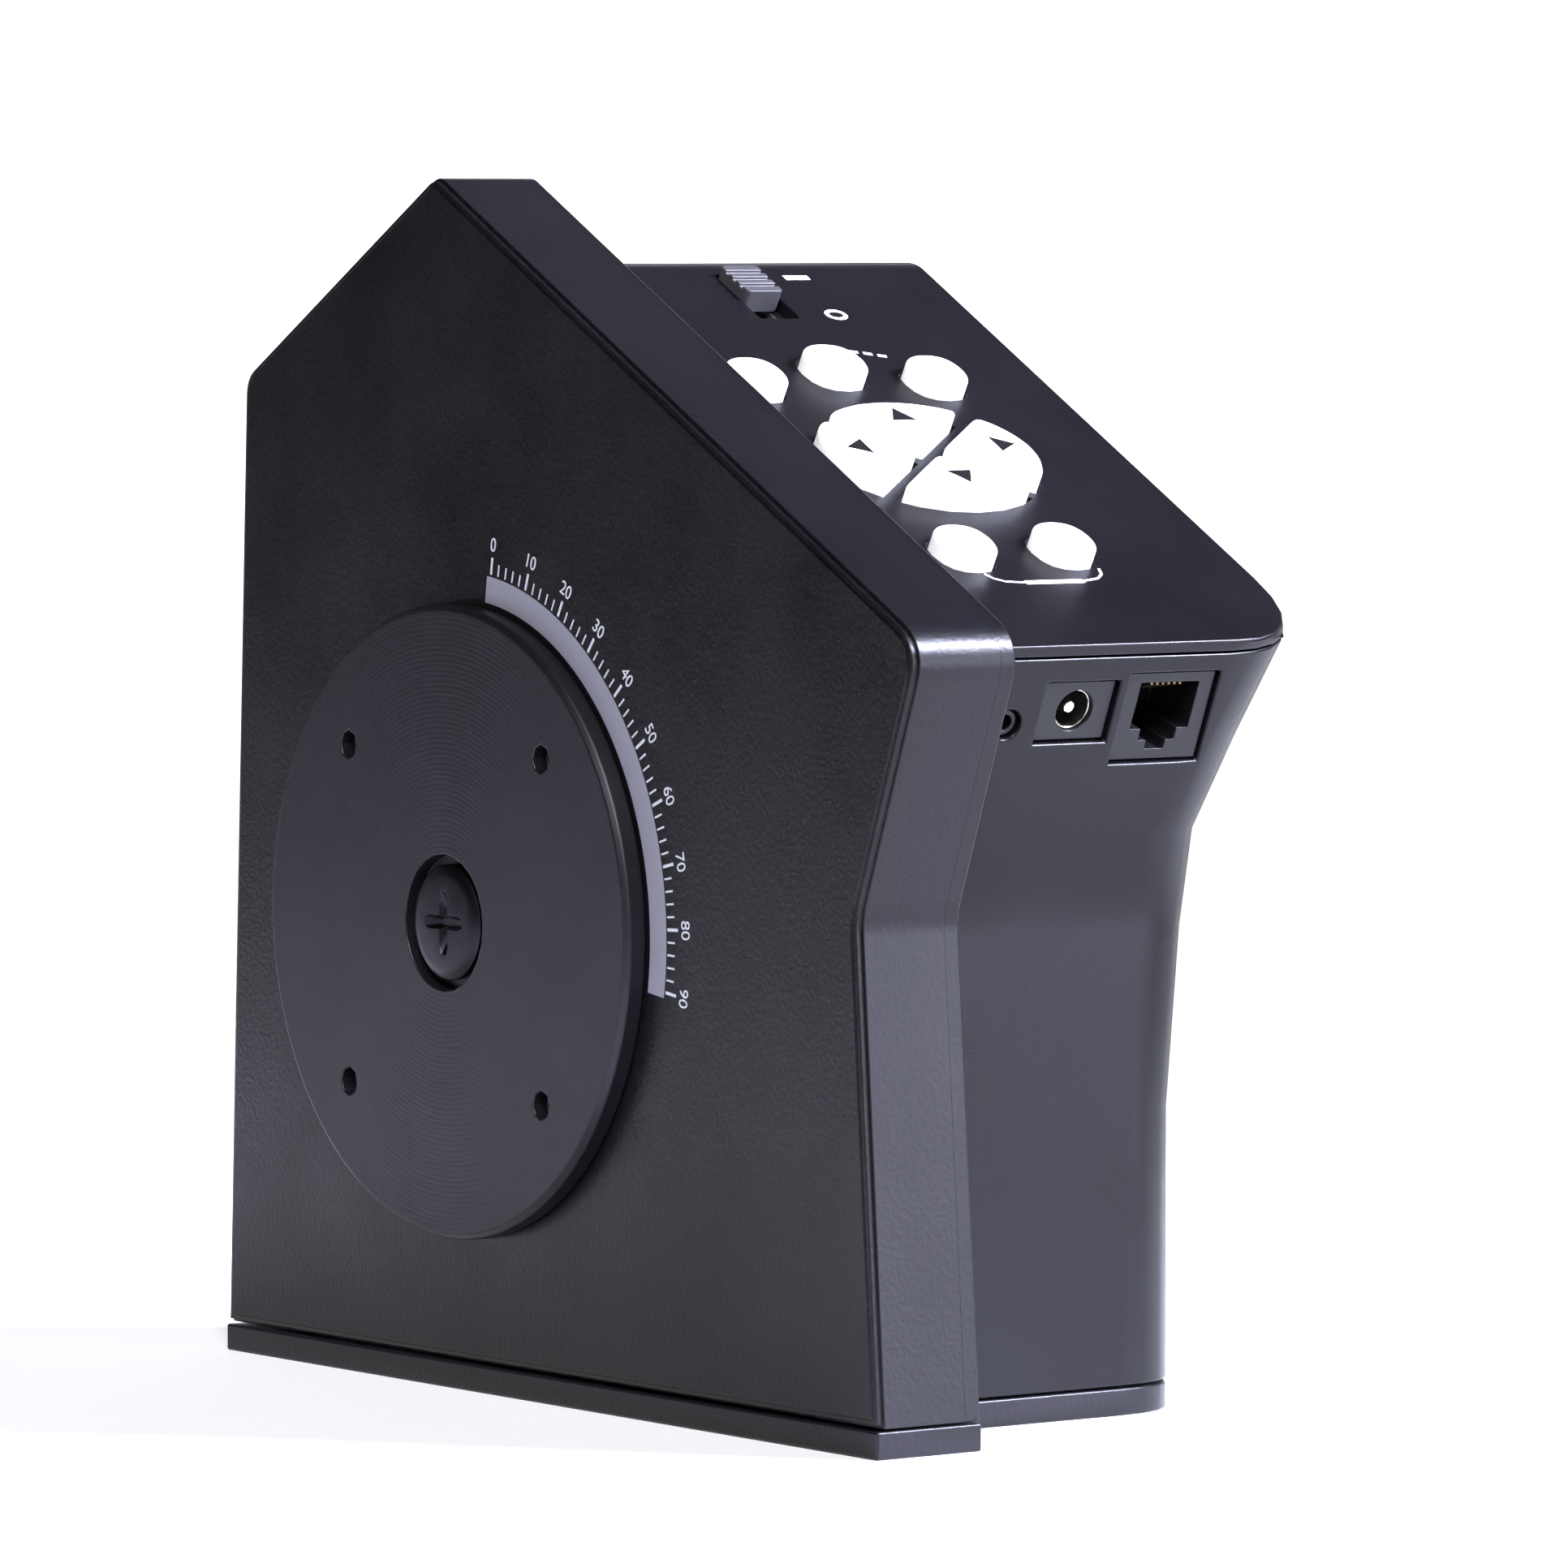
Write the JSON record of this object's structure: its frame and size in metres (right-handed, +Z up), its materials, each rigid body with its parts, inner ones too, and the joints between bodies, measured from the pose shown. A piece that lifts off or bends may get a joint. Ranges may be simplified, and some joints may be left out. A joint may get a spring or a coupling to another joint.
{
  "type": "telescope mount keypad head",
  "caption": "Keypad control head for a single-arm telescope mount: sloping keypad, power slide, port face and a motorised altitude hub.",
  "frame": {"origin": "centre of the neck plate's underside, where the mount's arm carries the head", "axes": "+Z up; X through the head's thickness with the altitude hub facing -X; the ports face -Y"},
  "size_m": [0.0905, 0.1739, 0.1776],
  "materials": {
    "black_abs": "fine spark-eroded texture",
    "panel_abs": "satin",
    "key_silicone": "translucent matt, lit from below",
    "mat_silicone": "matt",
    "carbon": "matt",
    "circuit_board": "solder mask",
    "jack_nylon": "moulded",
    "slider_grey": "moulded",
    "steel": "zinc plated",
    "black_aluminium": "anodised",
    "brass": "hobbed"
  },
  "bodies": {
    "head": {"inner_shell": "black_abs", "mid_plate": "black_abs", "outer_shell": "black_abs", "keypad_panel": "panel_abs", "keypad_mat": "mat_silicone", "keypad_board": "circuit_board", "power_switch_body": "steel", "serial_port": "jack_nylon", "power_jack": "jack_nylon", "power_jack_pin": "steel", "snap_port": "jack_nylon", "main_board": "circuit_board", "inner_bearing": "steel", "outer_bearing": "steel", "chassis_plate": "black_aluminium", "gearmotor": "steel", "neck_plate": "black_abs", "case_screw_1": "steel", "chassis_screw_1": "steel", "keypad_screw_1": "steel", "neck_screw_1": "steel", "case_screw_2": "steel", "chassis_screw_2": "steel", "keypad_screw_2": "steel", "neck_screw_2": "steel", "case_screw_3": "steel", "chassis_screw_3": "steel", "keypad_screw_3": "steel", "neck_screw_3": "steel", "case_screw_4": "steel", "chassis_screw_4": "steel", "keypad_screw_4": "steel", "neck_screw_4": "steel", "board_screw_1": "steel", "board_screw_2": "steel"},
    "key_top_left": {"key_top_left": "key_silicone", "pill_top_left": "carbon"},
    "key_top_centre": {"key_top_centre": "key_silicone", "pill_top_centre": "carbon"},
    "key_top_right": {"key_top_right": "key_silicone", "pill_top_right": "carbon"},
    "key_bottom_left": {"key_bottom_left": "key_silicone", "pill_bottom_left": "carbon"},
    "key_bottom_right": {"key_bottom_right": "key_silicone", "pill_bottom_right": "carbon"},
    "key_right": {"key_right": "key_silicone", "pill_right": "carbon"},
    "key_up": {"key_up": "key_silicone", "pill_up": "carbon"},
    "key_left": {"key_left": "key_silicone", "pill_left": "carbon"},
    "key_down": {"key_down": "key_silicone", "pill_down": "carbon"},
    "power_slide": {"power_switch_slider": "slider_grey"},
    "altitude_hub": {"altitude_hub": "black_aluminium", "altitude_shaft": "steel", "hub_screw": "steel", "altitude_wheel": "brass"},
    "drive_pinion": {"drive_pinion": "steel", "motor_shaft": "steel"}
  },
  "joints": [
    {"name": "press_top_left", "type": "slide", "parent": "head", "child": "key_top_left", "axis": [0, 0.4772, -0.8788], "range_m": [0, 0.001], "stiffness_N_per_m": 800},
    {"name": "press_top_centre", "type": "slide", "parent": "head", "child": "key_top_centre", "axis": [0, 0.4772, -0.8788], "range_m": [0, 0.001], "stiffness_N_per_m": 800},
    {"name": "press_top_right", "type": "slide", "parent": "head", "child": "key_top_right", "axis": [0, 0.4772, -0.8788], "range_m": [0, 0.001], "stiffness_N_per_m": 800},
    {"name": "press_bottom_left", "type": "slide", "parent": "head", "child": "key_bottom_left", "axis": [0, 0.4772, -0.8788], "range_m": [0, 0.001], "stiffness_N_per_m": 800},
    {"name": "press_bottom_right", "type": "slide", "parent": "head", "child": "key_bottom_right", "axis": [0, 0.4772, -0.8788], "range_m": [0, 0.001], "stiffness_N_per_m": 800},
    {"name": "press_right", "type": "slide", "parent": "head", "child": "key_right", "axis": [0, 0.4772, -0.8788], "range_m": [0, 0.001], "stiffness_N_per_m": 800},
    {"name": "press_up", "type": "slide", "parent": "head", "child": "key_up", "axis": [0, 0.4772, -0.8788], "range_m": [0, 0.001], "stiffness_N_per_m": 800},
    {"name": "press_left", "type": "slide", "parent": "head", "child": "key_left", "axis": [0, 0.4772, -0.8788], "range_m": [0, 0.001], "stiffness_N_per_m": 800},
    {"name": "press_down", "type": "slide", "parent": "head", "child": "key_down", "axis": [0, 0.4772, -0.8788], "range_m": [0, 0.001], "stiffness_N_per_m": 800},
    {"name": "power_slide", "type": "slide", "parent": "head", "child": "power_slide", "axis": [0, -0.8788, -0.4772], "range_m": [0, 0.0049]},
    {"name": "altitude", "type": "hinge", "parent": "head", "child": "altitude_hub", "pos_m": [0, 0.0185, 0.069], "axis": [1, 0, 0], "range_deg": [-45, 50]},
    {"name": "pinion_spin", "type": "hinge", "parent": "head", "child": "drive_pinion", "pos_m": [0, 0.0185, 0.03285], "axis": [1, 0, 0], "range_deg": [-255, 230]}
  ],
  "couplings": [
    {"joint": "pinion_spin", "follows": "altitude", "ratio": -5}
  ]
}
